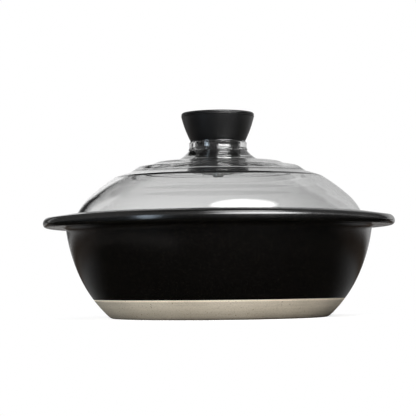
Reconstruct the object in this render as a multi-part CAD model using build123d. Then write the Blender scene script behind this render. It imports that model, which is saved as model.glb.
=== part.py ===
from build123d import *
from math import acos, asin, atan2, cos, degrees, hypot, radians, sin, sqrt, tan
import os

# A stoneware pot with a broad rim, under a glass dome lid with a black knob.
# The origin is at the centre of the foot, +Z is up and the handles lie along X.
# All lengths are in millimetres and all angles in degrees.

# Wall of the pot: two tangent arcs, seen from the axis
FOOT_RADIUS = 97.5
LOWER_WALL_RADIUS = 115.0
UPPER_WALL_RADIUS = 145.0
WALL_FOOT_ANGLE = 48.0
WALL_BEND_ANGLE = 24.9
WALL_THICKNESS = 9.0
FLOOR_THICKNESS = 9.0
INNER_CORNER_ROUND = 14.0
FOOT_EDGE_ROUND = 1.6
FOOT_RING_WIDTH = 13.0
FOOT_RECESS_DEPTH = 2.0

# Rim and handles
RIM_TOP_HEIGHT = 93.2
RIM_THICKNESS = 12.2
RIM_TOP_SLOPE = 8.5
RIM_OVERHANG = 6.9
RIM_TOP_ROUND = 5.4
RIM_BOTTOM_ROUND = 3.2
RIM_NECK_ROUND = 4.0
HANDLE_REACH = 12.8
HANDLE_HALF_WIDTH = 90.0
HANDLE_CORNER_RADIUS = 30.0
HANDLE_END_RADIUS = 250.0

# Seat for the lid
SEAT_WALL = 5.7
SEAT_DEPTH = 6.2
SEAT_LEDGE = 7.0
SEAT_EDGE_ROUND = 1.2
LIP_HEIGHT = 11.0

# Glaze, fused to the clay above a turned line and all over the inside
GLAZE_THICKNESS = 0.5
GLAZE_LINE_HEIGHT = 17.0

# Glass lid
LID_PLAY = 1.5
LID_RIM_ANGLE = 17.0
LID_RIM_ROUND = 1.6
SHOULDER_RADIUS = 46.9
SHOULDER_ANGLE = 47.8
FLANK_RADIUS = 171.7
FLANK_TOP_ANGLE = 57.6
DOME_RADIUS = 155.7
DOME_FOOT_ANGLE = 70.2
CREASE_ROUND = 3.0
GLASS_THICKNESS = 4.4
OUTER_RING_SETBACK = 17.3
OUTER_RING_STEP = 3.3
OUTER_RING_RUN = 7.0
INNER_RING_SETBACK = 34.8
INNER_RING_STEP = 1.7
INNER_RING_RUN = 4.6
RING_ROUND = 5.0

# Hollow neck of the glass
NECK_RADIUS = 26.0
NECK_WAIST = 0.1
NECK_BEAD = 0.6
NECK_BEAD_HEIGHT = 1.6
NECK_WALL = 5.2
NECK_HEIGHT = 17.3
NECK_FLARE_HEIGHT = 10.0
NECK_FLARE_SAG = 1.5
NECK_TOP_ROUND = 0.9
NECK_MOUTH_ROUND = 5.0
THROAT_RADIUS = 15.3
THROAT_THICKNESS = 3.0
THROAT_DEPTH = 6.1

# Silicone stopper in the neck
STOPPER_GAP = 0.3
STOPPER_CORE_GAP = 0.65
STOPPER_FLANGE = 1.0
STOPPER_FLANGE_INSET = 0.9
STOPPER_FOOT_RADIUS = 27.0
STOPPER_FOOT_THICKNESS = 4.6
STOPPER_FOOT_GAP = 0.3
STOPPER_FOOT_ROUND = 1.2
STOPPER_BORE_GAP = 0.2

# Fasteners of the knob
SCREW_RADIUS = 2.5
SCREW_HEAD_RADIUS = 4.8
SCREW_HEAD_HEIGHT = 3.0
SCREW_SOCKET_WIDTH = 4.0
SCREW_SOCKET_DEPTH = 1.8
SCREW_THREAD_GAP = 0.1
SCREW_REACH = 9.0
WASHER_RADIUS = 14.0
WASHER_THICKNESS = 1.2
INSERT_RADIUS = 4.5
INSERT_LENGTH = 12.0

# Knob
KNOB_FOOT_RADIUS = 24.6
KNOB_RADIUS = 33.1
KNOB_SIDE_HEIGHT = 23.4
KNOB_SIDE_BULGE_RADIUS = 100.0
KNOB_SHOULDER_HEIGHT = 2.0
KNOB_SHOULDER_WIDTH = 2.2
KNOB_GROOVE = 0.35


def polar(centre, radius, angle):
    """The point at an angle above the horizontal on an arc in the section plane."""
    return (centre[0] + radius * cos(radians(angle)), centre[1] + radius * sin(radians(angle)))


def arc(centre, radius, start, end):
    """An arc in the section plane between two angles."""
    middle = polar(centre, radius, (start + end) / 2)
    return ThreePointArc(polar(centre, radius, start), middle, polar(centre, radius, end))


def path(*points):
    """Straight runs through the points."""
    return list(Polyline(*points).edges())


def turned(*edges):
    """A solid of revolution about Z, from its closed half section."""
    return revolve(Plane.XZ * make_face(list(edges)), Axis.Z)


def turned_rounded(edges, rounds):
    """The same, with some corners rounded first: each round is a point and its radius."""
    face = make_face(list(edges))
    for point, radius in rounds:
        corner = face.vertices().sort_by_distance(Vector(*point))[0]
        face = fillet(corner, radius)
    return revolve(Plane.XZ * face, Axis.Z)


# Arcs of the wall, from the foot up
lower_wall_centre = (
    FOOT_RADIUS - LOWER_WALL_RADIUS * cos(radians(WALL_FOOT_ANGLE)),
    LOWER_WALL_RADIUS * sin(radians(WALL_FOOT_ANGLE)),
)
wall_bend = polar(lower_wall_centre, LOWER_WALL_RADIUS, -WALL_BEND_ANGLE)
upper_wall_centre = polar(wall_bend, UPPER_WALL_RADIUS, 180 - WALL_BEND_ANGLE)


def wall_angle(height, depth):
    """The angle at which the upper arc, drawn in by a depth, passes a height."""
    return degrees(asin((height - upper_wall_centre[1]) / (UPPER_WALL_RADIUS - depth)))


def wall_radius(height, depth):
    """The radius of the upper wall, drawn in by a depth, at a height."""
    angle = wall_angle(height, depth)
    return polar(upper_wall_centre, UPPER_WALL_RADIUS - depth, angle)[0]


def lower_angle(height, depth):
    """The angle at which the lower arc, drawn in by a depth, passes a height."""
    return degrees(asin((height - lower_wall_centre[1]) / (LOWER_WALL_RADIUS - depth)))


rim_underside = RIM_TOP_HEIGHT - RIM_THICKNESS
wall_top_radius = wall_radius(rim_underside, 0)
rim_radius = wall_top_radius + RIM_OVERHANG
seat_radius = wall_top_radius - SEAT_WALL
seat_height = RIM_TOP_HEIGHT - SEAT_DEPTH
mouth_radius = seat_radius - SEAT_LEDGE
lid_radius = seat_radius - LID_PLAY


def rim_outline(inset):
    """Plan of the rim: a circle at front and back, drawn out to a broad handle each way."""
    circle = rim_radius - inset
    corner = HANDLE_CORNER_RADIUS - inset
    end = HANDLE_END_RADIUS - inset
    end_x = rim_radius + HANDLE_REACH - HANDLE_END_RADIUS
    corner_y = HANDLE_HALF_WIDTH - HANDLE_CORNER_RADIUS
    corner_x = end_x + sqrt((HANDLE_END_RADIUS - HANDLE_CORNER_RADIUS) ** 2 - corner_y**2)
    reach = hypot(corner_x, corner_y)
    tangent = degrees(atan2(corner_y, corner_x) + acos((circle - corner) / reach))
    end_angle = degrees(asin(corner_y / (HANDLE_END_RADIUS - HANDLE_CORNER_RADIUS)))
    front = arc((0, 0), circle, tangent, 180 - tangent)
    run = Line(polar((0, 0), circle, tangent), polar((corner_x, corner_y), corner, tangent))
    bend = arc((corner_x, corner_y), corner, tangent, end_angle)
    tip = arc((end_x, 0), end, end_angle, -end_angle)
    quarter = [run, bend]
    half = quarter + [edge.mirror(Plane.YZ) for edge in quarter] + [front]
    edges = half + [edge.mirror(Plane.XZ) for edge in half]
    return make_face(edges + [tip, tip.mirror(Plane.YZ)])


def rim_plate(inset):
    """The rim with its handles, its top falling away outwards and its edge rounded."""
    bottom = rim_underside + inset
    top = RIM_TOP_HEIGHT - inset
    far = rim_radius + HANDLE_HALF_WIDTH
    fall = (far - seat_radius) * tan(radians(RIM_TOP_SLOPE))
    plate = extrude(Pos(0, 0, bottom) * rim_outline(inset), top - bottom)
    slope = path((0, bottom), (far, bottom), (far, top - fall), (seat_radius, top), (0, top), (0, bottom))
    plate = plate & turned(*slope)
    side = [edge for edge in plate.edges() if edge.center().Z > bottom and touches_side(edge, inset)]
    plate = fillet(side, RIM_TOP_ROUND - inset)
    low = [edge for edge in plate.edges() if abs(edge.center().Z - bottom) < GLAZE_THICKNESS]
    return fillet(low, RIM_BOTTOM_ROUND - inset)


def reach_of(point):
    """How far a point lies from the axis."""
    return hypot(point.X, point.Y)


def touches_side(edge, inset):
    """Whether an edge of the rim lies round its outside, and runs round rather than up."""
    ends = [edge @ 0, edge @ 1]
    outside = all(reach_of(end) > rim_radius - inset - GLAZE_THICKNESS for end in ends)
    return outside and abs(ends[0].Z - ends[1].Z) < RIM_TOP_ROUND


def pot_outside(inset, bare_foot):
    """The turned wall of the pot, solid. With a bare foot, only what the glaze covers is drawn in."""
    top = rim_underside + RIM_NECK_ROUND
    upper = UPPER_WALL_RADIUS - inset
    lower = LOWER_WALL_RADIUS - inset
    line_angle = lower_angle(GLAZE_LINE_HEIGHT, inset)
    line = polar(lower_wall_centre, lower, line_angle)
    full_line_angle = lower_angle(GLAZE_LINE_HEIGHT, 0)
    full_line = polar(lower_wall_centre, LOWER_WALL_RADIUS, full_line_angle)
    edges = [
        arc(upper_wall_centre, upper, wall_angle(top, inset), -WALL_BEND_ANGLE),
        arc(lower_wall_centre, lower, -WALL_BEND_ANGLE, line_angle),
        arc(lower_wall_centre, LOWER_WALL_RADIUS, full_line_angle, -WALL_FOOT_ANGLE),
    ]
    if bare_foot:
        edges.append(Line(line, full_line))
    foot = (FOOT_RADIUS, 0)
    recess = (FOOT_RADIUS - FOOT_RING_WIDTH, 0)
    recess_top = (recess[0] - FOOT_RECESS_DEPTH, FOOT_RECESS_DEPTH)
    wall_top = (wall_radius(top, inset), top)
    edges += path(foot, recess, recess_top, (0, FOOT_RECESS_DEPTH), (0, top), wall_top)
    return turned_rounded(edges, [(foot, FOOT_EDGE_ROUND)])


def pot_hollow(inset):
    """The space inside the pot, up through the mouth and the seat, grown by the inset."""
    depth = WALL_THICKNESS - inset
    floor = FLOOR_THICKNESS - inset
    over = RIM_TOP_HEIGHT + SEAT_DEPTH
    lip = seat_height - inset
    wall_top = seat_height - LIP_HEIGHT
    lower = LOWER_WALL_RADIUS - depth
    upper = UPPER_WALL_RADIUS - depth
    floor_angle = lower_angle(floor, depth)
    corner = polar(lower_wall_centre, lower, floor_angle)
    shoulder = polar(upper_wall_centre, upper, wall_angle(wall_top, depth))
    mouth = mouth_radius + inset
    seat = seat_radius + inset
    edges = [
        arc(lower_wall_centre, lower, floor_angle, -WALL_BEND_ANGLE),
        arc(upper_wall_centre, upper, -WALL_BEND_ANGLE, wall_angle(wall_top, depth)),
    ]
    edges += path(shoulder, (mouth, lip), (seat, lip), (seat, over), (0, over), (0, floor), corner)
    rounds = [
        (corner, INNER_CORNER_ROUND),
        (shoulder, LIP_HEIGHT / 2),
        ((mouth, lip), SEAT_EDGE_ROUND),
    ]
    return turned_rounded(edges, rounds)


def pot(inset, bare_foot):
    """The whole pot, drawn in by an inset on every glazed face."""
    shape = pot_outside(inset, bare_foot) + rim_plate(inset)
    joint = [
        edge
        for edge in shape.edges()
        if abs(edge.center().Z - rim_underside - inset) < GLAZE_THICKNESS / 2
        and mouth_radius < reach_of(edge @ 0) < rim_radius - RIM_BOTTOM_ROUND
    ]
    shape = fillet(joint, RIM_NECK_ROUND + inset)
    shape = shape - pot_hollow(inset)
    edge = shape.edges().filter_by(GeomType.CIRCLE).filter_by(
        lambda e: abs(e.radius - seat_radius - inset) < GLAZE_THICKNESS / 2
    ).sort_by(Axis.Z)[-1]
    return fillet(edge, SEAT_EDGE_ROUND)


def build_pot():
    """The clay, and the coat of glaze over it."""
    body = pot(GLAZE_THICKNESS, True)
    coat = pot(0, False) - body
    return body, coat


# Arcs of the lid, from its rim up
shoulder_centre = (
    lid_radius - SHOULDER_RADIUS * cos(radians(LID_RIM_ANGLE)),
    seat_height - SHOULDER_RADIUS * sin(radians(LID_RIM_ANGLE)),
)
flank_foot = polar(shoulder_centre, SHOULDER_RADIUS, SHOULDER_ANGLE)
flank_centre = polar(flank_foot, FLANK_RADIUS, SHOULDER_ANGLE + 180)
crease = polar(flank_centre, FLANK_RADIUS, FLANK_TOP_ANGLE)
crease_angle = (FLANK_TOP_ANGLE + DOME_FOOT_ANGLE) / 2
dome_centre = polar(crease, DOME_RADIUS, DOME_FOOT_ANGLE + 180)
neck_root = dome_centre[0]
crown_height = dome_centre[1] + DOME_RADIUS + OUTER_RING_STEP + INNER_RING_STEP
neck_top = crown_height + NECK_HEIGHT
bore_radius = NECK_RADIUS - NECK_WALL
throat_top = neck_top - THROAT_DEPTH
throat_bottom = throat_top - THROAT_THICKNESS


def dome_point(radius, gain):
    """The point at a radius on the dome's arc, with some length gained on the arc's radius."""
    rise = DOME_RADIUS + gain
    return (radius, dome_centre[1] + sqrt(rise**2 - (radius - dome_centre[0]) ** 2))


def tread(start, end, gain):
    """One smooth stretch of the dome between two radii."""
    middle = dome_point((start + end) / 2, gain)
    return ThreePointArc(dome_point(start, gain), middle, dome_point(end, gain))


def lid_surface(depth):
    """One face of the glass at a depth below its outside: edges from rim to neck, and rounds."""
    shoulder = SHOULDER_RADIUS - depth
    flank = FLANK_RADIUS - depth
    rim_angle = degrees(asin((seat_height - shoulder_centre[1]) / shoulder))
    start = polar(crease, depth, crease_angle + 180)[0]
    fold = dome_point(start, -depth)
    flank_middle = polar(flank_centre, flank, (SHOULDER_ANGLE + FLANK_TOP_ANGLE) / 2)
    edges = [
        arc(shoulder_centre, shoulder, rim_angle, SHOULDER_ANGLE),
        ThreePointArc(polar(flank_centre, flank, SHOULDER_ANGLE), flank_middle, fold),
    ]
    rounds = [(fold, CREASE_ROUND)]
    rings = [
        (OUTER_RING_SETBACK, OUTER_RING_STEP, OUTER_RING_RUN),
        (INNER_RING_SETBACK, INNER_RING_STEP, INNER_RING_RUN),
    ]
    gain = -depth
    for setback, step, run in rings:
        foot = crease[0] - setback - depth / 2 + run / 2
        head = foot - run
        edges.append(tread(start, foot, gain))
        edges.append(Line(dome_point(foot, gain), dome_point(head, gain + step)))
        rounds += [(dome_point(foot, gain), RING_ROUND), (dome_point(head, gain + step), RING_ROUND)]
        gain += step
        start = head
    edges.append(tread(start, neck_root, gain))
    return edges, rounds


def neck_outside():
    """The flare, the bead, the waist and the rounded lip of the neck."""
    flare_top = crown_height + NECK_FLARE_HEIGHT
    bead_top = flare_top + NECK_BEAD_HEIGHT
    return [
        SagittaArc((neck_root, crown_height), (NECK_RADIUS, flare_top), NECK_FLARE_SAG),
        ThreePointArc(
            (NECK_RADIUS, flare_top),
            (NECK_RADIUS + NECK_BEAD, (flare_top + bead_top) / 2),
            (NECK_RADIUS, bead_top),
        ),
        ThreePointArc(
            (NECK_RADIUS, bead_top),
            (NECK_RADIUS - NECK_WAIST, (bead_top + neck_top) / 2),
            (NECK_RADIUS, neck_top),
        ),
    ]


def build_lid():
    """The dome with its hollow neck, one piece of glass."""
    outside, outside_rounds = lid_surface(0)
    underside, underside_rounds = lid_surface(GLASS_THICKNESS)
    inner_rim = underside[0] @ 0
    outer_rim = outside[0] @ 0
    under_top = crown_height - GLASS_THICKNESS
    edges = outside + neck_outside() + underside
    edges += path(
        (NECK_RADIUS, neck_top),
        (bore_radius, neck_top),
        (bore_radius, throat_top),
        (THROAT_RADIUS, throat_top),
        (THROAT_RADIUS, throat_bottom),
        (bore_radius, throat_bottom),
        (bore_radius, under_top),
        (neck_root, under_top),
    )
    edges.append(Line(inner_rim, outer_rim))
    lip = [(NECK_RADIUS, neck_top), (bore_radius, neck_top)]
    throat = [(THROAT_RADIUS, throat_top), (THROAT_RADIUS, throat_bottom)]
    rounds = outside_rounds + underside_rounds
    rounds += [((bore_radius, under_top), NECK_MOUTH_ROUND)]
    rounds += [(point, NECK_TOP_ROUND) for point in lip + throat]
    rounds += [((point.X, point.Y), LID_RIM_ROUND) for point in (inner_rim, outer_rim)]
    return turned_rounded(edges, rounds)


# Stack of the knob's fasteners, from the neck's lip up and from the dome's underside down
knob_foot = neck_top + STOPPER_FLANGE
foot_top = crown_height - GLASS_THICKNESS - STOPPER_FOOT_GAP
stopper_foot = foot_top - STOPPER_FOOT_THICKNESS
washer_foot = stopper_foot - WASHER_THICKNESS
screw_foot = washer_foot - SCREW_HEAD_HEIGHT
screw_top = knob_foot + SCREW_REACH


def build_stopper():
    """The stopper: a flange under the knob, a core, a waist in the throat and a broad foot."""
    bore = SCREW_RADIUS + STOPPER_BORE_GAP
    flange = NECK_RADIUS - STOPPER_FLANGE_INSET
    core = bore_radius - STOPPER_CORE_GAP
    waist = THROAT_RADIUS - STOPPER_GAP
    low = (STOPPER_FOOT_RADIUS, stopper_foot)
    high = (STOPPER_FOOT_RADIUS, foot_top)
    edges = path(
        (bore, stopper_foot),
        low,
        high,
        (core, foot_top),
        (core, throat_bottom),
        (waist, throat_bottom),
        (waist, throat_top),
        (core, throat_top),
        (core, neck_top),
        (flange, neck_top),
        (flange, knob_foot),
        (bore, knob_foot),
        (bore, stopper_foot),
    )
    return turned_rounded(edges, [(low, STOPPER_FOOT_ROUND), (high, STOPPER_FOOT_ROUND)])


def build_washer():
    """The washer between the screw's head and the stopper's foot."""
    bore = SCREW_RADIUS + STOPPER_BORE_GAP
    ring = Cylinder(WASHER_RADIUS, WASHER_THICKNESS, align=(Align.CENTER, Align.CENTER, Align.MIN))
    return Pos(0, 0, washer_foot) * (ring - Cylinder(bore, WASHER_THICKNESS * 3))


def build_screw():
    """A pan head screw with a hexagon socket, its head down under the washer."""
    up = (Align.CENTER, Align.CENTER, Align.MIN)
    head = Pos(0, 0, screw_foot) * Cylinder(SCREW_HEAD_RADIUS, SCREW_HEAD_HEIGHT, align=up)
    head = fillet(head.edges().sort_by(Axis.Z)[0], SCREW_HEAD_HEIGHT / 3)
    shank = Pos(0, 0, washer_foot) * Cylinder(SCREW_RADIUS, screw_top - washer_foot, align=up)
    socket = extrude(RegularPolygon(SCREW_SOCKET_WIDTH / 2, 6, major_radius=False), SCREW_SOCKET_DEPTH)
    return head + shank - Pos(0, 0, screw_foot) * socket


def build_insert():
    """The threaded insert moulded into the knob's foot."""
    bore = SCREW_RADIUS + SCREW_THREAD_GAP
    top = knob_foot + INSERT_LENGTH
    foot = (bore, knob_foot)
    return turned(*path(foot, (INSERT_RADIUS, knob_foot), (INSERT_RADIUS, top), (bore, top), foot))


def build_knob():
    """The knob: a cone that swells a little, a fine parting groove and a rounded shoulder."""
    side_top = knob_foot + KNOB_SIDE_HEIGHT
    groove_top = side_top + KNOB_GROOVE
    top = groove_top + KNOB_SHOULDER_HEIGHT
    foot = (KNOB_FOOT_RADIUS, knob_foot)
    edge = (KNOB_RADIUS, side_top)
    inner_edge = (KNOB_RADIUS - KNOB_GROOVE, groove_top)
    crown = (KNOB_RADIUS - KNOB_SHOULDER_WIDTH, top)
    insert_top = knob_foot + INSERT_LENGTH
    edges = [
        RadiusArc(foot, edge, -KNOB_SIDE_BULGE_RADIUS),
        Line(edge, inner_edge),
        RadiusArc(inner_edge, crown, -KNOB_SHOULDER_WIDTH * 2),
    ]
    hole = (INSERT_RADIUS, insert_top)
    edges += path(crown, (0, top), (0, insert_top), hole, (INSERT_RADIUS, knob_foot), foot)
    return turned(*edges)


pot_body, glaze_coat = build_pot()
nodes = {
    "pot_body": pot_body,
    "glaze_coat": glaze_coat,
    "lid_glass": build_lid(),
    "neck_stopper": build_stopper(),
    "stopper_washer": build_washer(),
    "knob_screw": build_screw(),
    "knob_insert": build_insert(),
    "knob_grip": build_knob(),
}

os.makedirs("parts", exist_ok=True)
for name, shape in nodes.items():
    export_step(shape, f"parts/{name}.step")
    print(name, len(shape.solids()), round(shape.volume))
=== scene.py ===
import bpy
import numpy as np
from math import acos, asin, atan, atan2, ceil, cos, degrees, hypot, pi, radians, sin, sqrt, tan
from mathutils import Matrix, Vector


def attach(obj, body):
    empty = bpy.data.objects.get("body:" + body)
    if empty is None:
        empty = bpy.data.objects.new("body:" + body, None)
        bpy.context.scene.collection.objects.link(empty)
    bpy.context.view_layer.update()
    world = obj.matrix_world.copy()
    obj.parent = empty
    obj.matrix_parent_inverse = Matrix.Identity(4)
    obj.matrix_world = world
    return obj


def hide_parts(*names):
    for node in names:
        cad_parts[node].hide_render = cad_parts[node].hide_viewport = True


# The looks of a stoneware pot under a glass dome lid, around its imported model.
# Sizes are in millimetres, as in the model's source, and MM turns them into metres.
# Angles are in degrees. The studio and the camera, at the end, are in metres.

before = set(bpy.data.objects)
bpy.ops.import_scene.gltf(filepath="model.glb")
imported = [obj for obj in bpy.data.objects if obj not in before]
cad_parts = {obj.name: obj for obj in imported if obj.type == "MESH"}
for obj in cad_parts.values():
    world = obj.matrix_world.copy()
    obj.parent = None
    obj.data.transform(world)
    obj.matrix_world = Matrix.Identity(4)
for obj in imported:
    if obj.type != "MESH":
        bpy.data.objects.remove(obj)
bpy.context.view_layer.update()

MM = 0.001
SEGMENTS = 576          # round a turned piece
SMALL_SEGMENTS = 192    # round a small one
HUB = 4.0               # radius of the innermost ring on the floor and in the recess

# Wall of the pot
FOOT_RADIUS = 97.5
LOWER_RADIUS = 115.0
UPPER_RADIUS = 145.0
FOOT_ANGLE = 48.0
BEND_ANGLE = 24.9
WALL = 9.0
FLOOR = 9.0
INNER_CORNER = 14.0
FOOT_ROUND = 1.6
RING_WIDTH = 13.0
RECESS = 2.0
RECESS_ROUND = 0.8

# Rim and handles
RIM_TOP = 93.2
RIM_THICKNESS = 12.2
RIM_UNDERSIDE = RIM_TOP - RIM_THICKNESS
RIM_SLOPE = radians(8.5)    # the one angle kept in radians
OVERHANG = 6.9
TOP_ROUND = 5.4
BOTTOM_ROUND = 3.2
NECK_ROUND = 4.0
HANDLE_REACH = 12.8
HANDLE_HALF_WIDTH = 90.0
CORNER_RADIUS = 30.0
END_RADIUS = 250.0

# Seat of the lid
SEAT_WALL = 5.7
SEAT_DEPTH = 6.2
SEAT_LEDGE = 7.0
SEAT_ROUND = 1.2
LIP_HEIGHT = 11.0

# Glaze
GLAZE = 0.5
CLAY_GAP = 0.05
GLAZE_LINE = 17.0

# Lid
LID_PLAY = 1.5
LID_RIM_ANGLE = 17.0
LID_RIM_ROUND = 1.6
SHOULDER_RADIUS = 46.9
SHOULDER_ANGLE = 47.8
FLANK_RADIUS = 171.7
FLANK_TOP_ANGLE = 57.6
DOME_RADIUS = 155.7
DOME_FOOT_ANGLE = 70.2
CREASE_ROUND = 3.0
GLASS = 4.4
RINGS = ((17.3, 3.3, 7.0), (34.8, 1.7, 4.6))    # each ring's setback from the crease, its step and its run
RING_ROUND = 5.0
RING_SHIFT = 1.2        # of the depth, how far the rings' underside lies nearer the axis

# Neck of the glass
NECK_RADIUS = 26.0
NECK_WAIST = 0.1
NECK_BEAD = 0.6
BEAD_HEIGHT = 1.6
NECK_WALL = 5.2
NECK_HEIGHT = 17.3
FLARE_HEIGHT = 10.0
FLARE_SAG = 1.5
NECK_TOP_ROUND = 0.9
MOUTH_ROUND = 5.0
THROAT_RADIUS = 15.3
THROAT_THICKNESS = 3.0
THROAT_DEPTH = 6.1
CRISP = 0.4             # from a sharp corner to the points that keep its shading crisp

# Stopper, fasteners and knob
STOPPER_GAP = 0.3
CORE_GAP = 0.65
FLANGE = 1.0
FLANGE_INSET = 0.9
FOOT_DISC_RADIUS = 27.0
FOOT_DISC = 4.6
FOOT_DISC_GAP = 0.3
FOOT_DISC_ROUND = 1.2
RIB = 0.6
RIB_PITCH = 2.1
RIB_STEP = 0.15         # between a rib's rings
RIB_TAPER = 1.6         # in ribs, how far the core draws in under its top rib
STOPPER_BORE = 2.7
STOPPER_ROUND = 0.35
WASHER_RADIUS = 14.0
WASHER = 1.2
WASHER_ROUND = 0.25
KNOB_FOOT_RADIUS = 24.6
KNOB_RADIUS = 33.1
KNOB_SIDE = 23.4
KNOB_BULGE = 100.0
SHOULDER_HEIGHT = 2.0
SHOULDER_WIDTH = 2.2
GROOVE = 0.35
GROOVE_DEPTH = 3.5      # in grooves, so that the line under the shoulder reads dark
INSERT_RADIUS = 4.5
INSERT_LENGTH = 12.0


# ---- curves of a half section, as lists of (radius, height) ----

def polar(centre, radius, angle):
    """The point of a circle at an angle."""
    return (centre[0] + radius * cos(radians(angle)), centre[1] + radius * sin(radians(angle)))


def arc(centre, radius, start, end, count):
    """Points on an arc, both ends included."""
    return [polar(centre, radius, start + (end - start) * k / count) for k in range(count + 1)]


def through(a, b, c, count):
    """Points on the circle arc from a by b to c."""
    ax, ay, bx, by, cx, cy = *a, *b, *c
    d = 2 * (ax * (by - cy) + bx * (cy - ay) + cx * (ay - by))
    sa, sb, sc = ax * ax + ay * ay, bx * bx + by * by, cx * cx + cy * cy
    ux = (sa * (by - cy) + sb * (cy - ay) + sc * (ay - by)) / d
    uy = (sa * (cx - bx) + sb * (ax - cx) + sc * (bx - ax)) / d
    start, end = atan2(ay - uy, ax - ux), atan2(cy - uy, cx - ux)
    middle = atan2(by - uy, bx - ux)
    full = 2 * pi
    if (middle - start) % full > (end - start) % full:
        sweep = (end - start) % full - full
    else:
        sweep = (end - start) % full
    radius = hypot(ax - ux, ay - uy)
    turns = [start + sweep * k / count for k in range(count + 1)]
    return [(ux + radius * cos(t), uy + radius * sin(t)) for t in turns]


def straight(a, b, count):
    """Points on the line from a to b, both ends included."""
    return [(a[0] + (b[0] - a[0]) * k / count, a[1] + (b[1] - a[1]) * k / count) for k in range(count + 1)]


def bend(a, corner, b, count):
    """A smooth corner, from a to b."""
    points = []
    for k in range(count + 1):
        t = k / count
        first, second, third = (1 - t) ** 2, 2 * t * (1 - t), t * t
        points.append(tuple(first * p + second * q + third * s for p, q, s in zip(a, corner, b)))
    return points


def cut_corners(points, rounds, count=5):
    """The same run of points with each listed corner rounded off over a given distance."""
    result = []
    for k, point in enumerate(points):
        size = rounds.get(k)
        if not size:
            result.append(point)
            continue
        ends = []
        for other in (points[k - 1], points[(k + 1) % len(points)]):
            length = hypot(other[0] - point[0], other[1] - point[1])
            share = min(size / length, 0.5)
            ends.append(tuple(p + (q - p) * share for p, q in zip(point, other)))
        result += bend(ends[0], point, ends[1], count)
    return result


def tidy(points):
    """Drops points that repeat the one before."""
    kept = [points[0]]
    for point in points[1:]:
        if hypot(point[0] - kept[-1][0], point[1] - kept[-1][1]) > 1e-4:
            kept.append(point)
    return kept


# ---- meshes ----

def surface(name, rings, closed):
    """A mesh from rings of points round the axis, each an (n, 3) array, or (1, 3) at a pole.
    Closed, its last ring joins its first."""
    points = np.vstack(rings) * MM
    starts = np.cumsum([0] + [len(ring) for ring in rings])
    faces = []
    pairs = list(zip(range(len(rings) - 1), range(1, len(rings))))
    if closed:
        pairs.append((len(rings) - 1, 0))
    for low, high in pairs:
        a, b = starts[low], starts[high]
        count = max(len(rings[low]), len(rings[high]))
        for k in range(count):
            m = (k + 1) % count
            if len(rings[low]) == 1:
                faces.append((a, b + m, b + k))
            elif len(rings[high]) == 1:
                faces.append((a + k, a + m, b))
            else:
                faces.append((a + k, a + m, b + m, b + k))
    mesh = bpy.data.meshes.new(name)
    mesh.from_pydata(points.tolist(), [], faces)
    mesh.polygons.foreach_set("use_smooth", [True] * len(mesh.polygons))
    mesh.update()
    piece = bpy.data.objects.new(name, mesh)
    bpy.context.scene.collection.objects.link(piece)
    return piece


def lathe(name, section, closed=False, segments=SEGMENTS):
    """A turned piece. The section runs upwards on the outside, so the faces look out."""
    turn = np.arange(segments) * 2 * pi / segments
    rings = []
    for radius, height in section:
        if radius < 1e-6:
            rings.append(np.array([[0, 0, height]]))
        else:
            ring = [radius * np.cos(turn), radius * np.sin(turn), np.full(segments, height)]
            rings.append(np.stack(ring, 1))
    return surface(name, rings, closed)


# ---- the pot ----

lower_centre = (
    FOOT_RADIUS - LOWER_RADIUS * cos(radians(FOOT_ANGLE)),
    LOWER_RADIUS * sin(radians(FOOT_ANGLE)),
)
upper_centre = polar(polar(lower_centre, LOWER_RADIUS, -BEND_ANGLE), UPPER_RADIUS, 180 - BEND_ANGLE)


def angle_at(centre, radius, height):
    """The angle at which a circle's outer side reaches a height."""
    return degrees(asin((height - centre[1]) / radius))


wall_top = polar(upper_centre, UPPER_RADIUS, angle_at(upper_centre, UPPER_RADIUS, RIM_UNDERSIDE))[0]
rim_radius = wall_top + OVERHANG
seat_radius = wall_top - SEAT_WALL
seat_height = RIM_TOP - SEAT_DEPTH
mouth_radius = seat_radius - SEAT_LEDGE


def outline():
    """Points of the rim's plan and the way each faces, once round from the right handle's tip."""
    end_x = rim_radius + HANDLE_REACH - END_RADIUS
    corner_y = HANDLE_HALF_WIDTH - CORNER_RADIUS
    corner_x = end_x + sqrt((END_RADIUS - CORNER_RADIUS) ** 2 - corner_y ** 2)
    reach = hypot(corner_x, corner_y)
    tangent = degrees(atan2(corner_y, corner_x) + acos((rim_radius - CORNER_RADIUS) / reach))
    end_angle = degrees(asin(corner_y / (END_RADIUS - CORNER_RADIUS)))
    rows = []
    for centre, radius, start, end, count in (
        ((end_x, 0), END_RADIUS, 0, end_angle, 30),
        ((corner_x, corner_y), CORNER_RADIUS, end_angle, tangent, 26),
    ):
        for k in range(count):
            angle = start + (end - start) * k / count
            rows.append((*polar(centre, radius, angle), angle))
    corner_end = polar((corner_x, corner_y), CORNER_RADIUS, tangent)
    rim_start = polar((0, 0), rim_radius, tangent)
    rows += [(x, y, tangent) for x, y in straight(corner_end, rim_start, 36)[:-1]]
    rim_count = 52
    for k in range(rim_count):
        angle = tangent + (90 - tangent) * k / rim_count
        rows.append((*polar((0, 0), rim_radius, angle), angle))
    quarter = np.array(rows)
    points, facing = quarter[:, :2], np.radians(quarter[:, 2])
    faces = np.stack([np.cos(facing), np.sin(facing)], 1)
    front = np.array([[0.0, rim_radius]])
    half_points = np.vstack([points, front, points[:0:-1] * [-1, 1]])
    half_faces = np.vstack([faces, [[0, 1]], faces[:0:-1] * [-1, 1]])
    left = np.array([[-points[0, 0], 0.0]])
    all_points = np.vstack([half_points, left, half_points[:0:-1] * [1, -1]])
    all_faces = np.vstack([half_faces, [[-1, 0]], half_faces[:0:-1] * [1, -1]])
    return all_points, all_faces


plan, plan_faces = outline()
plan_reach = np.hypot(plan[:, 0], plan[:, 1])
plan_way = plan / plan_reach[:, None]


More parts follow.
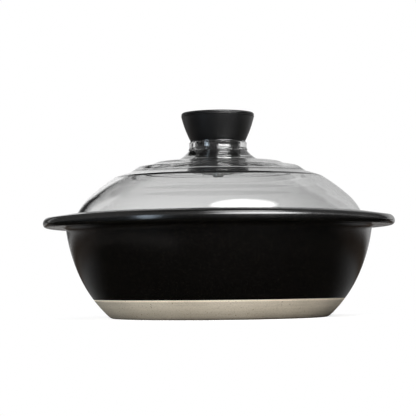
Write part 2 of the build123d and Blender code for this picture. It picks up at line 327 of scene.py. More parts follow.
def round_ring(radius, height):
    """A ring of the pot at one radius, or at one for each point of the plan."""
    xy = plan_way * np.reshape(radius * np.ones(len(plan)), (-1, 1))
    return np.column_stack([xy, height * np.ones(len(plan))])


def edge_ring(back, height):
    """A ring of the pot set back from the rim's edge."""
    back = np.reshape(back * np.ones(len(plan)), (-1, 1))
    return np.column_stack([plan - plan_faces * back, height * np.ones(len(plan))])


def cone_height(reach, inset):
    """Height of the rim's sloping top at a distance from the axis."""
    return RIM_TOP - (reach - seat_radius) * tan(RIM_SLOPE) - inset


def pot_rings(inset, start_height):
    """Rings from the wall outside, over the rim and the seat, down the inside to the floor."""
    lower, upper = LOWER_RADIUS - inset, UPPER_RADIUS - inset
    neck_height = RIM_UNDERSIDE - NECK_ROUND
    neck_angle = angle_at(upper_centre, UPPER_RADIUS + NECK_ROUND, neck_height)
    neck_centre = polar(upper_centre, UPPER_RADIUS + NECK_ROUND, neck_angle)
    first = angle_at(lower_centre, lower, start_height)
    section = arc(lower_centre, lower, first, -BEND_ANGLE, 16)
    section += arc(upper_centre, upper, -BEND_ANGLE, neck_angle, 20)[1:]
    section += arc(neck_centre, NECK_ROUND + inset, 180 + neck_angle, 90, 8)[1:]
    rings = [round_ring(r, z) for r, z in section]

    # The rim's underside, its lower round and its side
    inner = round_ring(*section[-1])
    outer = edge_ring(BOTTOM_ROUND, RIM_UNDERSIDE + inset)
    rings += [inner + (outer - inner) * k / 6 for k in range(1, 6)]
    low = BOTTOM_ROUND - inset
    for k in range(9):
        turn = radians(-90 + 90 * k / 8)
        back = BOTTOM_ROUND - low * cos(turn)
        rings.append(edge_ring(back, RIM_UNDERSIDE + BOTTOM_ROUND + low * sin(turn)))

    # The top slopes less along the edge's own facing where the rim isn't round.
    slope = np.arctan(tan(RIM_SLOPE) * np.sum(plan_way * plan_faces, 1))
    centre = edge_ring(TOP_ROUND, 0)
    centre_reach = np.hypot(centre[:, 0], centre[:, 1])
    high = TOP_ROUND - inset
    centre_height = cone_height(centre_reach, 0) - TOP_ROUND / np.cos(slope)
    for k in range(13):
        turn = (pi / 2 - slope) * k / 12
        rings.append(edge_ring(TOP_ROUND - high * np.cos(turn), centre_height + high * np.sin(turn)))
    last = rings[-1]
    brink = seat_radius + SEAT_ROUND
    brink_ring = round_ring(brink, 0)
    for k in range(1, 11):
        ring = last + (brink_ring - last) * k / 10
        ring[:, 2] = cone_height(np.hypot(ring[:, 0], ring[:, 1]), inset)
        rings.append(ring)

    # The seat, the lip under it and the inside
    small = SEAT_ROUND - inset
    top_centre = (brink, cone_height(brink, 0) - SEAT_ROUND)
    section = arc(top_centre, small, 90, 180, 6)[1:]
    section += [(seat_radius + inset, seat_height - inset + 0.3), (seat_radius + inset, seat_height - inset)]
    section += straight(section[-1], (mouth_radius + SEAT_ROUND, seat_height - inset), 4)[1:]
    section += arc((mouth_radius + SEAT_ROUND, seat_height - SEAT_ROUND), small, 90, 180, 6)[1:]
    in_lower, in_upper = LOWER_RADIUS - WALL + inset, UPPER_RADIUS - WALL + inset
    lip_foot = seat_height - LIP_HEIGHT
    shoulder = polar(upper_centre, in_upper, angle_at(upper_centre, in_upper, lip_foot))
    third = LIP_HEIGHT / 3
    above = (section[-1][0] + (shoulder[0] - section[-1][0]) * 0.6, lip_foot + third)
    below_angle = angle_at(upper_centre, in_upper, lip_foot - third)
    section += bend(above, shoulder, polar(upper_centre, in_upper, below_angle), 8)
    section += arc(upper_centre, in_upper, below_angle, -BEND_ANGLE, 14)[1:]
    corner_height = FLOOR + INNER_CORNER
    corner_angle = angle_at(lower_centre, LOWER_RADIUS - WALL - INNER_CORNER, corner_height)
    corner = polar(lower_centre, LOWER_RADIUS - WALL - INNER_CORNER, corner_angle)
    section += arc(lower_centre, in_lower, -BEND_ANGLE, corner_angle, 10)[1:]
    section += arc(corner, INNER_CORNER + inset, corner_angle, -90, 12)[1:]
    section += straight(section[-1], (HUB, FLOOR - inset), 12)[1:]
    rings += [round_ring(r, z) for r, z in section]
    rings.append(np.array([[0, 0, FLOOR - inset]]))
    return rings


def build_clay():
    """The clay: bare from the foot to the glaze line, and drawn in under the glaze above it."""
    recess = FOOT_RADIUS - RING_WIDTH
    foot_angle = angle_at(lower_centre, LOWER_RADIUS, FOOT_ROUND)
    foot = polar(lower_centre, LOWER_RADIUS, foot_angle)
    base = straight((HUB, RECESS), (recess - RECESS, RECESS), 8)
    base += cut_corners([base[-1], (recess, 0), (FOOT_RADIUS - FOOT_ROUND, 0)], {1: RECESS_ROUND})[1:]
    base += bend((FOOT_RADIUS - FOOT_ROUND, 0), (FOOT_RADIUS - 0.1, 0), foot, 6)[1:]
    line_angle = angle_at(lower_centre, LOWER_RADIUS, GLAZE_LINE - 0.15)
    base += arc(lower_centre, LOWER_RADIUS, foot_angle, line_angle, 18)[1:]
    rings = [np.array([[0, 0, RECESS]])] + [round_ring(r, z) for r, z in tidy(base)]
    return surface("pot_clay", rings + pot_rings(GLAZE + CLAY_GAP, GLAZE_LINE), False)


def build_glaze():
    """The coat of glaze, a skin with a thin rounded edge at the line."""
    # The edge starts a little above the line on both faces and swells down to it between them.
    under = pot_rings(GLAZE, GLAZE_LINE + 0.1)[::-1]
    over = pot_rings(0.0, GLAZE_LINE + 0.35)
    edge = []
    for inset, height in ((GLAZE * 0.55, GLAZE_LINE), (GLAZE * 0.18, GLAZE_LINE + 0.1)):
        radius = LOWER_RADIUS - inset
        edge.append(round_ring(*polar(lower_centre, radius, angle_at(lower_centre, radius, height))))
    return surface("pot_glaze", under + edge + over, False)


# ---- the lid ----

lid_radius = seat_radius - LID_PLAY
shoulder_centre = (
    lid_radius - SHOULDER_RADIUS * cos(radians(LID_RIM_ANGLE)),
    seat_height - SHOULDER_RADIUS * sin(radians(LID_RIM_ANGLE)),
)
flank_foot = polar(shoulder_centre, SHOULDER_RADIUS, SHOULDER_ANGLE)
flank_centre = polar(flank_foot, FLANK_RADIUS, SHOULDER_ANGLE + 180)
crease = polar(flank_centre, FLANK_RADIUS, FLANK_TOP_ANGLE)
crease_angle = (FLANK_TOP_ANGLE + DOME_FOOT_ANGLE) / 2
dome_centre = polar(crease, DOME_RADIUS, DOME_FOOT_ANGLE + 180)
neck_root = dome_centre[0]
crown = dome_centre[1] + DOME_RADIUS + sum(step for _, step, _ in RINGS)
neck_top = crown + NECK_HEIGHT
bore = NECK_RADIUS - NECK_WALL
throat_top = neck_top - THROAT_DEPTH
throat_bottom = throat_top - THROAT_THICKNESS


def dome_point(radius, gain):
    """The point at a radius on the dome's arc, with some length gained on the arc's radius."""
    return (radius, dome_centre[1] + sqrt((DOME_RADIUS + gain) ** 2 - (radius - dome_centre[0]) ** 2))


def tread(start, end, gain):
    """Points along one smooth stretch of the dome between two radii."""
    count = max(2, ceil((start - end) / 0.8))
    return [dome_point(start + (end - start) * k / count, gain) for k in range(count + 1)]


def rounded(before, corner, after, radius):
    """Points of a fillet at a corner between two runs."""
    way = [np.subtract(p, corner) / hypot(*np.subtract(p, corner)) for p in (before, after)]
    half = acos(max(-1, min(1, float(way[0] @ way[1])))) / 2
    reach = radius / tan(half)
    middle = way[0] + way[1]
    centre = np.add(corner, middle / hypot(*middle) * radius / sin(half))
    ends = [np.add(corner, w * reach) for w in way]
    inner = centre - middle / hypot(*middle) * radius
    return through(tuple(ends[0]), tuple(inner), tuple(ends[1]), 8)


def lid_surface(depth):
    """One face of the glass at a depth below its outside: points from the flank's foot to the neck."""
    flank = FLANK_RADIUS - depth
    start = polar(crease, depth, crease_angle + 180)[0]
    runs = [arc(flank_centre, flank, SHOULDER_ANGLE, FLANK_TOP_ANGLE, 30)[:-1] + [dome_point(start, -depth)]]
    rounds = [CREASE_ROUND]
    gain = -depth
    for setback, step, run in RINGS:
        foot = crease[0] - setback - depth * RING_SHIFT + run / 2
        head = foot - run
        runs += [tread(start, foot, gain), straight(dome_point(foot, gain), dome_point(head, gain + step), 8)]
        rounds += [RING_ROUND, RING_ROUND]
        gain += step
        start = head
    runs.append(tread(start, neck_root, gain))
    points = runs[0]
    for run, radius in zip(runs[1:], rounds):
        corner = run[0]
        fillet = rounded(points[-2], corner, run[1], radius)
        ends = [hypot(*np.subtract(fillet[k], corner)) for k in (0, -1)]
        points = [p for p in points if hypot(*np.subtract(p, corner)) > ends[0]]
        points += fillet + [p for p in run if hypot(*np.subtract(p, corner)) > ends[1]]
    return points


def lid_section():
    """The whole section of the glass, a closed loop that starts at the rim's foot."""
    # The outside, from the rim to the neck's flare
    small = LID_RIM_ROUND
    low = seat_height + small
    out_angle = angle_at(shoulder_centre, SHOULDER_RADIUS - small, low)
    out = polar(shoulder_centre, SHOULDER_RADIUS - small, out_angle)
    inner = SHOULDER_RADIUS - GLASS
    in_angle = angle_at(shoulder_centre, inner + small, low)
    inside = polar(shoulder_centre, inner + small, in_angle)
    points = arc(out, small, -90, out_angle, 10)
    points += arc(shoulder_centre, SHOULDER_RADIUS, out_angle, SHOULDER_ANGLE, 30)[1:]
    points += lid_surface(0)[1:]

    # The neck: its flare, its bead, its waist and its top
    flare_top = crown + FLARE_HEIGHT
    bead_top = flare_top + BEAD_HEIGHT
    chord = (neck_root - NECK_RADIUS, FLARE_HEIGHT)
    length = hypot(*chord)
    middle = (
        (neck_root + NECK_RADIUS) / 2 - FLARE_SAG * chord[1] / length,
        crown + FLARE_HEIGHT / 2 - FLARE_SAG * chord[0] / length,
    )
    points += through((neck_root, crown), middle, (NECK_RADIUS, flare_top), 16)[1:]
    points += through((NECK_RADIUS, flare_top), (NECK_RADIUS + NECK_BEAD, (flare_top + bead_top) / 2),
                      (NECK_RADIUS, bead_top), 10)[1:]
    top = neck_top - NECK_TOP_ROUND
    points += through((NECK_RADIUS, bead_top), (NECK_RADIUS - NECK_WAIST, (bead_top + top) / 2),
                      (NECK_RADIUS, top), 10)[1:]
    points += arc((NECK_RADIUS - NECK_TOP_ROUND, top), NECK_TOP_ROUND, 0, 90, 6)[1:]
    points += arc((bore + NECK_TOP_ROUND, top), NECK_TOP_ROUND, 90, 180, 6)

    # The bore with its throat, then the inside back down to the rim
    under_top = crown - GLASS
    points += [(bore, throat_top + CRISP), (bore, throat_top), (bore - CRISP, throat_top)]
    web = NECK_TOP_ROUND
    points += arc((THROAT_RADIUS + web, throat_top - web), web, 90, 180, 5)
    points += arc((THROAT_RADIUS + web, throat_bottom + web), web, 180, 270, 5)
    points += [(bore - CRISP, throat_bottom), (bore, throat_bottom), (bore, throat_bottom - CRISP)]
    points += arc((bore + MOUTH_ROUND, under_top + MOUTH_ROUND), MOUTH_ROUND, 180, 270, 14)
    points += lid_surface(GLASS)[::-1]
    points += arc(shoulder_centre, inner, SHOULDER_ANGLE, in_angle, 24)[1:]
    points += arc(inside, small, in_angle + 180, 270, 8)[1:]
    return tidy(points)


def build_stopper():
    """The stopper: a flange under the knob, a ribbed core, a waist in the throat and a broad foot."""
    knob_foot = neck_top + FLANGE
    disc_top = crown - GLASS - FOOT_DISC_GAP
    flange, core, waist = NECK_RADIUS - FLANGE_INSET, bore - CORE_GAP, THROAT_RADIUS - STOPPER_GAP
    corners = [
        (STOPPER_BORE, disc_top - FOOT_DISC), (FOOT_DISC_RADIUS, disc_top - FOOT_DISC),
        (FOOT_DISC_RADIUS, disc_top),
        (core, disc_top), (core, throat_bottom), (waist, throat_bottom),
        (waist, throat_top), (core, throat_top), (core, neck_top), (flange, neck_top),
        (flange, knob_foot), (STOPPER_BORE, knob_foot),
    ]
    rounds = {1: FOOT_DISC_ROUND, 2: FOOT_DISC_ROUND}
    rounds.update((k, STOPPER_ROUND) for k in (4, 7, 9, 10))
    section = []
    for point in cut_corners(corners, rounds):
        last = section[-1] if section else point
        on_core = max(abs(point[0] - core), abs(last[0] - core)) < 0.01
        if on_core and point[1] - last[1] > RIB_PITCH:
            count = ceil((point[1] - last[1]) / RIB_STEP)
            for _, height in straight(last, point, count)[1:-1]:
                wave = (1 - cos(2 * pi * (height - last[1]) / RIB_PITCH)) / 2
                depth = neck_top - height
                if RIB_PITCH < depth < THROAT_DEPTH:
                    wave = RIB_TAPER * (THROAT_DEPTH - depth) / (THROAT_DEPTH - RIB_PITCH)
                section.append((core - RIB * wave, height))
        section.append(point)
    return lathe("stopper", section, closed=True)


def build_washer():
    """The washer, against the stopper's foot."""
    top = crown - GLASS - FOOT_DISC_GAP - FOOT_DISC
    bottom = top - WASHER
    corners = [(STOPPER_BORE, bottom), (WASHER_RADIUS, bottom), (WASHER_RADIUS, top), (STOPPER_BORE, top)]
    section = cut_corners(corners, {1: WASHER_ROUND, 2: WASHER_ROUND})
    return lathe("washer", section, closed=True, segments=SMALL_SEGMENTS)


def build_knob():
    """The knob: a cone that swells a little, a groove and a rounded shoulder, round the insert's hole."""
    foot_height = neck_top + FLANGE
    side_top = foot_height + KNOB_SIDE
    groove_top = side_top + GROOVE
    top = groove_top + SHOULDER_HEIGHT
    foot, edge = (KNOB_FOOT_RADIUS, foot_height), (KNOB_RADIUS, side_top)
    chord = (edge[0] - foot[0], edge[1] - foot[1])
    length = hypot(*chord)
    sag = KNOB_BULGE - sqrt(KNOB_BULGE ** 2 - (length / 2) ** 2)
    middle = (
        (foot[0] + edge[0]) / 2 + sag * chord[1] / length,
        (foot[1] + edge[1]) / 2 - sag * chord[0] / length,
    )
    side = through(foot, middle, edge, 24)
    hole = [(INSERT_RADIUS, foot_height), (KNOB_FOOT_RADIUS - 0.5, foot_height)]
    side[0] = (KNOB_FOOT_RADIUS + 0.05, foot_height + 0.4)
    section = hole + [(KNOB_FOOT_RADIUS - 0.12, foot_height + 0.1)] + side[:-1]

    # The groove, with a small break at each of its edges
    lip = side_top - 2 * GROOVE
    groove = KNOB_RADIUS - GROOVE_DEPTH * GROOVE
    shoulder = KNOB_RADIUS - GROOVE
    section += [
        (KNOB_RADIUS - 0.05, lip - 0.25), (KNOB_RADIUS - 0.20, lip - 0.03),
        (groove, lip + 0.03), (groove, groove_top - 0.08),
        (shoulder + 0.05, groove_top + 0.05),
    ]

    # The shoulder, the flat top and the insert's hole
    crown_radius = KNOB_RADIUS - SHOULDER_WIDTH
    section += bend((shoulder + 0.02, groove_top + 0.3), (shoulder - 0.3, top), (crown_radius, top), 8)
    section += straight((crown_radius - 1.0, top), (2.0, top), 6) + [(0, top)]
    insert_top = foot_height + INSERT_LENGTH
    return lathe("knob", [(0, insert_top), (INSERT_RADIUS, insert_top)] + section)


# ---- materials ----

def material(name):
    """A new material, its node tree and its shader."""
    made = bpy.data.materials.new(name)
    made.use_nodes = True
    return made, made.node_tree, made.node_tree.nodes["Principled BSDF"]


def node(tree, kind, **values):
    """A node with values for its own sockets or properties."""
    made = tree.nodes.new(kind)
    for key, value in values.items():
        name = key.replace("_", " ").title()
        if name in made.inputs:
            made.inputs[name].default_value = value
        else:
            setattr(made, key, value)
    return made


def noise(tree, scale, detail=4.0, roughness=0.55, squeeze=None):
    """Noise in the piece's own space, in metres. A squeeze over 1 makes it finer along that axis."""
    texture = node(tree, "ShaderNodeTexNoise", scale=scale, detail=detail, roughness=roughness)
    place = tree.nodes.new("ShaderNodeTexCoord").outputs["Object"]
    if squeeze:
        mapping = node(tree, "ShaderNodeMapping", scale=squeeze)
        tree.links.new(place, mapping.inputs["Vector"])
        place = mapping.outputs["Vector"]
    tree.links.new(place, texture.inputs["Vector"])
    return texture.outputs["Fac"]


def ramp(tree, source, stops):
    """A colour ramp on a value. Each stop is a place and a grey or a colour."""
    made = tree.nodes.new("ShaderNodeValToRGB")
    elements = made.color_ramp.elements
    while len(elements) < len(stops):
        elements.new(0.5)
    for element, (place, colour) in zip(elements, stops):
        element.position = place
        rgb = (colour,) * 3 if isinstance(colour, (int, float)) else colour
        element.color = (*rgb, 1)
    tree.links.new(source, made.inputs["Fac"])
    return made.outputs["Color"]


def math_node(tree, operation, a, b):
    """A sum, a product or the like of two values, each a number or another node's socket."""
    made = node(tree, "ShaderNodeMath", operation=operation)
    for socket, value in zip(made.inputs, (a, b)):
        if isinstance(value, (int, float)):
            socket.default_value = value
        else:
            tree.links.new(value, socket)
    return made.outputs[0]


def blend_colour(tree, share, a, b, kind="MIX"):
    """Colour a with a share of colour b mixed in, or multiplied in."""
    made = node(tree, "ShaderNodeMix", data_type="RGBA", blend_type=kind)
    for socket, value in ((made.inputs[0], share), (made.inputs[6], a), (made.inputs[7], b)):
        if hasattr(value, "is_linked"):
            tree.links.new(value, socket)
        elif isinstance(value, (int, float)):
            socket.default_value = value
        else:
            socket.default_value = (*value, 1)
    return made.outputs[2]


def bump(tree, shader, height, strength, distance):
    """Relief from a value. The distance is in metres."""
    made = node(tree, "ShaderNodeBump", strength=strength, distance=distance)
    tree.links.new(height, made.inputs["Height"])
    tree.links.new(made.outputs["Normal"], shader.inputs["Normal"])


def glaze_material():
    """Black satin glaze with fine iron specks and a faint orange peel."""
    made, tree, shader = material("glaze_black")
    cloud = noise(tree, 18, 3)
    base = ramp(tree, cloud, [(0.35, (0.0008, 0.0007, 0.0006)), (0.7, (0.0014, 0.0012, 0.0010))])
    specks = noise(tree, 1500, 2, 0.7)
    spot = ramp(tree, specks, [(0.62, 0.0), (0.74, 1.0)])
    colour = blend_colour(tree, spot, base, (0.060, 0.052, 0.040))
    tree.links.new(colour, shader.inputs["Base Color"])
    shader.inputs["IOR"].default_value = 1.6
    rough = ramp(tree, noise(tree, 60, 4), [(0.3, 0.19), (0.7, 0.24)])
    tree.links.new(rough, shader.inputs["Roughness"])
    peel = math_node(tree, "ADD", noise(tree, 420, 3), math_node(tree, "MULTIPLY", specks, 0.4))
    bump(tree, shader, peel, 0.10, 0.0004)
    return made


def clay_material():
    """Bare buff stoneware: sandy, with turning lines and small dark specks, with painted shade that darkens
    it towards the foot, and its paler line under the glaze made paler still with painted light."""
    made, tree, shader = material("clay_buff")
    cloud = noise(tree, 22, 4)
    base = ramp(tree, cloud, [(0.3, (0.53, 0.470, 0.375)), (0.7, (0.63, 0.565, 0.460))])
    grain = noise(tree, 900, 4, 0.7)
    sand = ramp(tree, grain, [(0.3, 0.80), (0.5, 1.0), (0.72, 1.10)])
    colour = blend_colour(tree, 1.0, base, sand, "MULTIPLY")
    lines = noise(tree, 60, 3, 0.5, squeeze=(0.25, 0.25, 9.0))
    turned = ramp(tree, lines, [(0.3, 0.92), (0.7, 1.05)])
    colour = blend_colour(tree, 1.0, colour, turned, "MULTIPLY")
    place = tree.nodes.new("ShaderNodeTexCoord").outputs["Object"]
    split = tree.nodes.new("ShaderNodeSeparateXYZ")
    tree.links.new(place, split.inputs[0])
    height = math_node(tree, "MULTIPLY", split.outputs[2], 1 / (GLAZE_LINE * MM))
    # Painted shade darkens the clay towards the floor, where the foot lies in shade; painted light lifts the
    # row just under the glaze, where the glaze's edge shades it.
    foot = ramp(tree, height, [
        (0.0, 0.40), (0.14, 0.68), (0.60, 0.96), (0.88, 1.0), (0.95, 1.62), (1.0, 1.62),
    ])
    colour = blend_colour(tree, 1.0, colour, foot, "MULTIPLY")
    spot = ramp(tree, noise(tree, 700, 1, 0.4), [(0.70, 0.0), (0.76, 1.0)])
    colour = blend_colour(tree, spot, colour, (0.20, 0.15, 0.10))
    tree.links.new(colour, shader.inputs["Base Color"])
    shader.inputs["Roughness"].default_value = 0.88
    shader.inputs["Specular IOR Level"].default_value = 0.25
    rough = math_node(tree, "ADD", grain, lines)
    bump(tree, shader, rough, 0.35, 0.0005)
    return made


def glass_material():
    """Clear glass with a grey cast that grows with its thickness."""
    made, tree, shader = material("glass_clear")
    shader.inputs["Base Color"].default_value = (1, 1, 1, 1)
    shader.inputs["Transmission Weight"].default_value = 1.0
    shader.inputs["Roughness"].default_value = 0.0
    shader.inputs["IOR"].default_value = 1.5
    cast = node(tree, "ShaderNodeVolumeAbsorption")
    cast.inputs["Color"].default_value = (0.62, 0.625, 0.62, 1)
    cast.inputs["Density"].default_value = 60.0
    tree.links.new(cast.outputs[0], tree.nodes["Material Output"].inputs["Volume"])
    return made


def knob_material():
    """Matte black moulded resin with a fine grain and a few paler specks."""
    made, tree, shader = material("knob_matte")
    base = ramp(tree, noise(tree, 30, 3), [(0.3, (0.0008, 0.0008, 0.0010)), (0.7, (0.0016, 0.0015, 0.0020))])
    grain = noise(tree, 1100, 3, 0.6)
    spot = ramp(tree, grain, [(0.66, 0.0), (0.76, 1.0)])
    tree.links.new(blend_colour(tree, spot, base, (0.022, 0.022, 0.028)), shader.inputs["Base Color"])
    rough = ramp(tree, grain, [(0.3, 0.34), (0.7, 0.50)])
    tree.links.new(rough, shader.inputs["Roughness"])
    bump(tree, shader, grain, 0.45, 0.0004)
    return made


def silicone_material():
    """Smooth black silicone, pressed against the glass."""
    made, tree, shader = material("silicone_black")
    base = ramp(tree, noise(tree, 90, 3), [(0.3, (0.003, 0.003, 0.0033)), (0.7, (0.005, 0.005, 0.0055))])
    tree.links.new(base, shader.inputs["Base Color"])
    shader.inputs["IOR"].default_value = 1.8
    rough = ramp(tree, noise(tree, 300, 3), [(0.3, 0.03), (0.7, 0.06)])
    tree.links.new(rough, shader.inputs["Roughness"])
    return made


def metal_material(name, dark, light, low, high):
    """Dull metal with a fine grain."""
    made, tree, shader = material(name)
    grain = noise(tree, 900, 3, 0.6)
    tree.links.new(ramp(tree, grain, [(0.3, dark), (0.7, light)]), shader.inputs["Base Color"])
    tree.links.new(ramp(tree, noise(tree, 2200, 2), [(0.3, low), (0.7, high)]), shader.inputs["Roughness"])
    shader.inputs["Metallic"].default_value = 1.0
    bump(tree, shader, grain, 0.08, 0.0001)
    return made


def dress(piece, made):
    """Gives a piece its only material."""
    piece.data.materials.clear()
    piece.data.materials.append(made)


def add(piece, made, body, replaced):
    """Gives a piece its material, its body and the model's node it stands for."""
    dress(piece, made)
    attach(piece, body)
    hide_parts(replaced)


steel = metal_material("steel_turned", (0.72, 0.72, 0.71), (0.82, 0.82, 0.81), 0.40, 0.50)
brass = metal_material("brass_turned", (0.58, 0.42, 0.18), (0.70, 0.52, 0.25), 0.28, 0.40)

add(build_clay(), clay_material(), "pot", "pot_body")
add(build_glaze(), glaze_material(), "pot", "glaze_coat")
add(lathe("lid_dome", lid_section(), closed=True), glass_material(), "lid", "lid_glass")
add(build_stopper(), silicone_material(), "lid", "neck_stopper")
add(build_washer(), steel, "lid", "stopper_washer")
add(build_knob(), knob_material(), "lid", "knob_grip")
dress(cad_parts["knob_screw"], steel)
dress(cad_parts["knob_insert"], brass)


# ---- the studio ----

def light_path_mix(tree, rays, shown, other):
    """Shows one shader to the named kinds of ray and another to the rest."""
    path = tree.nodes.new("ShaderNodeLightPath")
    share = path.outputs[rays[0]]
    for name in rays[1:]:
        share = math_node(tree, "MAXIMUM", share, path.outputs[name])
    made = tree.nodes.new("ShaderNodeMixShader")
    tree.links.new(share, made.inputs[0])
    tree.links.new(other, made.inputs[1])
    tree.links.new(shown, made.inputs[2])
    return made.outputs[0]


def emission(tree, colour, strength):
    """A plain glow, for the stage only."""
    return node(tree, "ShaderNodeEmission", color=(*colour, 1), strength=strength).outputs[0]


def plane(name, centre, size, facing):
    """A stage plane of a size in metres that faces a point."""
    mesh = bpy.data.meshes.new(name)
    w, h = size[0] / 2, size[1] / 2
    mesh.from_pydata([(-w, -h, 0), (w, -h, 0), (w, h, 0), (-w, h, 0)], [], [(0, 1, 2, 3)])
    made = bpy.data.objects.new(name, mesh)
    made.location = centre
    way = Vector(facing) - Vector(centre)
    made.rotation_euler = way.to_track_quat("Z", "Y").to_euler()
    bpy.context.scene.collection.objects.link(made)
    return made


def stage_material(name, build):
    """A material whose surface a function builds."""
    made = bpy.data.materials.new(name)
    made.use_nodes = True
    tree = made.node_tree
    tree.nodes.remove(tree.nodes["Principled BSDF"])
    tree.links.new(build(tree), tree.nodes["Material Output"].inputs["Surface"])
    return made


def floor_shader(tree):
    """White to the camera and through glass, with the pot's soft shadow left in near its foot.
    A reflection shows it dark in front of the pot with a grey card on the left, brown behind it
    and white far back."""
    pale = node(tree, "ShaderNodeBsdfDiffuse", color=(0.80, 0.79, 0.77, 1)).outputs[0]
    glow = tree.nodes.new("ShaderNodeAddShader")
    tree.links.new(emission(tree, (1, 1, 1), 0.80), glow.inputs[0])
    tree.links.new(pale, glow.inputs[1])
    place = tree.nodes.new("ShaderNodeTexCoord").outputs["Object"]
    reach = node(tree, "ShaderNodeVectorMath", operation="LENGTH")
    tree.links.new(place, reach.inputs[0])

    # To the camera: the lit floor close to the foot, and white beyond it.
    near = ramp(tree, reach.outputs["Value"], [(0.105, 0.0), (0.150, 1.0)])
    shown = tree.nodes.new("ShaderNodeMixShader")
    tree.links.new(near, shown.inputs[0])
    tree.links.new(glow.outputs[0], shown.inputs[1])
    tree.links.new(emission(tree, (1, 1, 1), 1.0), shown.inputs[2])

    # In front of the pot: dark, and darker on the left.
    split = tree.nodes.new("ShaderNodeSeparateXYZ")
    tree.links.new(place, split.inputs[0])
    front = ramp(tree, reach.outputs["Value"], [
        (0.10, (0.022, 0.020, 0.017)), (0.33, (0.034, 0.032, 0.027)),
        (0.40, (0.002, 0.002, 0.002)), (0.48, 0.0),
    ])
    left = ramp(tree, math_node(tree, "ADD", split.outputs[0], 0.5), [(0.22, 0.45), (0.46, 1.0)])
    front = blend_colour(tree, 1.0, front, left, "MULTIPLY")

    # The card: a curved strip that comes nearer towards the left.
    lean = math_node(tree, "MULTIPLY", math_node(tree, "ADD", split.outputs[0], 0.14), 0.45)
    card_reach = math_node(tree, "ADD", reach.outputs["Value"], lean)
    card = ramp(tree, card_reach, [(0.245, 0.0), (0.270, 1.0), (0.300, 1.0), (0.325, 0.0)])
    card_side = ramp(tree, math_node(tree, "ADD", split.outputs[0], 0.5), [
        (0.02, 0.45), (0.36, 1.0), (0.42, 0.0),
    ])
    card = math_node(tree, "MULTIPLY", card, card_side)
    front = blend_colour(tree, card, front, (0.19, 0.18, 0.17))

    # Behind the pot: brown, then paler the farther back.
    back = math_node(tree, "ADD", split.outputs[1], 0.5)
    behind = ramp(tree, back, [(0.46, 0.0), (0.56, 1.0)])
    far = ramp(tree, math_node(tree, "MULTIPLY", reach.outputs["Value"], 0.5), [
        (0.12, (0.19, 0.19, 0.19)), (0.17, (0.075, 0.055, 0.042)), (0.31, (0.060, 0.045, 0.034)),
        (0.38, (0.12, 0.11, 0.10)), (0.54, (0.28, 0.27, 0.265)), (0.65, (0.55, 0.54, 0.53)), (0.80, 1.0),
    ])
    far = blend_colour(tree, card, far, (0.16, 0.15, 0.14))
    seen = emission(tree, (1, 1, 1), 1.0)
    colour = blend_colour(tree, behind, front, far)
    tree.links.new(colour, seen.node.inputs["Color"])
    real = light_path_mix(tree, ["Is Glossy Ray"], seen, pale)
    return light_path_mix(tree, ["Is Camera Ray", "Is Transmission Ray"], shown.outputs[0], real)


floor = plane("floor", (0, 0, 0), (12, 12), (0, 0, 1))
floor.rotation_euler = (0, 0, 0)    # its shader needs the pot's own axes
floor.data.materials.append(stage_material("floor_pale", floor_shader))


BACKDROP_SIZE = (6.0, 2.4)


def backdrop_share(metres):
    """A distance across the backdrop, as a share of its width."""
    return metres / BACKDROP_SIZE[0] + 0.5


def backdrop_shader(tree):
    """White paper with a dark gap on the left, brightest beside the gap and greyest right of the middle."""
    place = tree.nodes.new("ShaderNodeTexCoord").outputs["Object"]
    split = tree.nodes.new("ShaderNodeSeparateXYZ")
    tree.links.new(place, split.inputs[0])
    across = math_node(tree, "ADD", math_node(tree, "DIVIDE", split.outputs[0], BACKDROP_SIZE[0]), 0.5)
    tones = (
        (-2.7, 0.0), (-2.5, 0.9), (-1.6, 0.9), (-1.35, 0.03), (-0.64, 0.03), (-0.55, 0.98), (-0.1, 0.85),
        (0.05, 0.78), (0.22, 0.62), (0.35, 0.58), (0.8, 0.60), (1.6, 0.85), (2.6, 0.9), (2.8, 0.0),
    )
    tone = ramp(tree, across, [(backdrop_share(metres), grey) for metres, grey in tones])
    seen = emission(tree, (1, 1, 1), 1.12)
    tree.links.new(tone, seen.node.inputs["Color"])
    return seen


backdrop = plane("backdrop", (0, 1.6, 1.0), BACKDROP_SIZE, (0, 0, 1.0))
backdrop.data.materials.append(stage_material("backdrop_white", backdrop_shader))
backdrop.visible_diffuse = False
backdrop.visible_camera = False

# The room: dim and even for diffuse light and glass, white to the camera. A reflection shows walls that
# rise from a dark foot, paler in front of the pot than behind it, under a darker ceiling.
world = bpy.data.worlds.new("studio")
bpy.context.scene.world = world
world.use_nodes = True
tree = world.node_tree
tree.nodes.clear()
room = node(tree, "ShaderNodeBackground", color=(0.035, 0.035, 0.036, 1), strength=1.0).outputs[0]
way = tree.nodes.new("ShaderNodeSeparateXYZ")
tree.links.new(tree.nodes.new("ShaderNodeTexCoord").outputs["Generated"], way.inputs[0])
rise = ramp(tree, way.outputs[2], [
    (0.02, 0.0), (0.05, 0.22), (0.12, 0.30), (0.22, 1.0), (0.80, 1.0), (0.93, 0.35),
])
backward = math_node(tree, "MULTIPLY", math_node(tree, "ADD", way.outputs[1], 1.0), 0.5)
round_room = ramp(tree, backward, [(0.35, 0.45), (0.60, 0.28)])
walls = node(tree, "ShaderNodeBackground", strength=1.0)
tree.links.new(blend_colour(tree, 1.0, rise, round_room, "MULTIPLY"), walls.inputs["Color"])
room = light_path_mix(tree, ["Is Glossy Ray"], walls.outputs[0], room)
white = node(tree, "ShaderNodeBackground", color=(1, 1, 1, 1), strength=1.0).outputs[0]
output = tree.nodes.new("ShaderNodeOutputWorld")
tree.links.new(light_path_mix(tree, ["Is Camera Ray"], white, room), output.inputs[0])


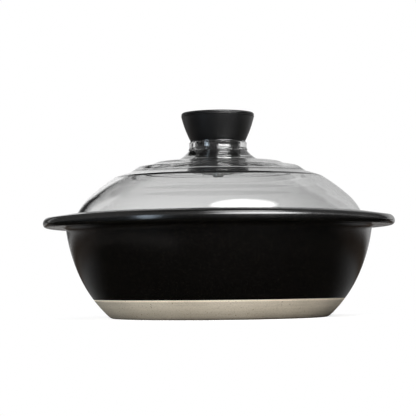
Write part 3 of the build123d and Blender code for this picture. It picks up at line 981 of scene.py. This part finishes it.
def softbox(name, centre, target, radius, radiance, colour=(1, 1, 1), seen=True):
    """A round light. Its power in watts follows from its radiance. Unseen, it only lights matte surfaces."""
    data = bpy.data.lights.new(name, "AREA")
    data.shape = "DISK"
    data.size = 2 * radius
    data.energy = radiance * pi * pi * radius ** 2
    data.color = colour
    made = bpy.data.objects.new(name, data)
    made.location = centre
    made.rotation_euler = (Vector(centre) - Vector(target)).to_track_quat("Z", "Y").to_euler()
    made.visible_camera = False
    made.visible_transmission = seen
    made.visible_glossy = seen
    bpy.context.scene.collection.objects.link(made)


def panel(name, centre, target, size, radiance, soft, roll=0, shades=True):
    """An oval light panel, a little dimmer inside, that fades over the soft share of its reach. It is
    seen in reflections, and where it shades it lights matte surfaces too."""
    made = plane(name, centre, size, target)

    def build(tree):
        place = tree.nodes.new("ShaderNodeTexCoord").outputs["Object"]
        split = tree.nodes.new("ShaderNodeSeparateXYZ")
        tree.links.new(place, split.inputs[0])
        flat = node(tree, "ShaderNodeCombineXYZ")
        for axis in (0, 1):
            tree.links.new(math_node(tree, "DIVIDE", split.outputs[axis], size[axis] / 2), flat.inputs[axis])
        reach = node(tree, "ShaderNodeVectorMath", operation="LENGTH")
        tree.links.new(flat.outputs[0], reach.inputs[0])
        tone = ramp(tree, reach.outputs["Value"], [(0.0, 0.85), (0.5, 0.75), (1 - soft, 1.0), (1.0, 0.0)])
        glow = emission(tree, (1, 1, 1), radiance)
        tree.links.new(tone, glow.node.inputs["Color"])
        return glow

    made.data.materials.append(stage_material(name, build))
    made.rotation_euler.rotate_axis("Z", radians(roll))
    made.visible_camera = False
    made.visible_diffuse = shades


# The key is the bright patch on the dome, the front panel the gleam along the rim, the side light a cool
# spot on the rim's left, and the fill lights the bare clay.
middle = (0, 0, 0.09)
panel("key", (0.362, -0.69, 1.275), (0.02, -0.12, 0.10), (1.18, 0.58), 10.0, 0.25, roll=8)
panel("front", (0.70, -1.24, 0.82), (0.02, -0.14, 0.09), (2.3, 1.0), 22.0, 0.6, shades=False)
softbox("side", (-1.05, -0.95, 0.24), middle, 0.20, 6.0, colour=(0.72, 0.86, 1.0))
softbox("fill", (-0.45, -1.9, 0.35), middle, 0.55, 9.2, seen=False)


# ---- the camera, at the photograph's angle ----

FOCAL = 1600.0          # pixels
WIDTH = 416.0           # pixels
HORIZON_DROP = 69.5     # pixels, the horizon under the picture's middle
AXIS_SHIFT = 10.6       # pixels, the pot's axis right of the picture's middle
SENSOR = 36.0           # mm
DISTANCE = 1440.0 * MM
EYE = 35.8 * MM
pitch = atan(HORIZON_DROP / FOCAL)
yaw = atan(AXIS_SHIFT / FOCAL)
roll = radians(0.6)

ahead = Vector((-sin(yaw) * cos(pitch), cos(yaw) * cos(pitch), sin(pitch)))
side = Vector((cos(yaw), sin(yaw), 0))
over = side.cross(ahead)
right = side * cos(roll) - over * sin(roll)
up = side * sin(roll) + over * cos(roll)
data = bpy.data.cameras.new("camera")
data.sensor_width = SENSOR
data.lens = FOCAL / WIDTH * SENSOR
data.clip_start = 0.01
data.clip_end = 50
camera = bpy.data.objects.new("camera", data)
turn = Matrix((right, up, -ahead)).transposed().to_4x4()
camera.matrix_world = Matrix.Translation((0, -DISTANCE, EYE)) @ turn
bpy.context.scene.collection.objects.link(camera)
bpy.context.scene.camera = camera
bpy.context.scene.view_settings.view_transform = "Standard"
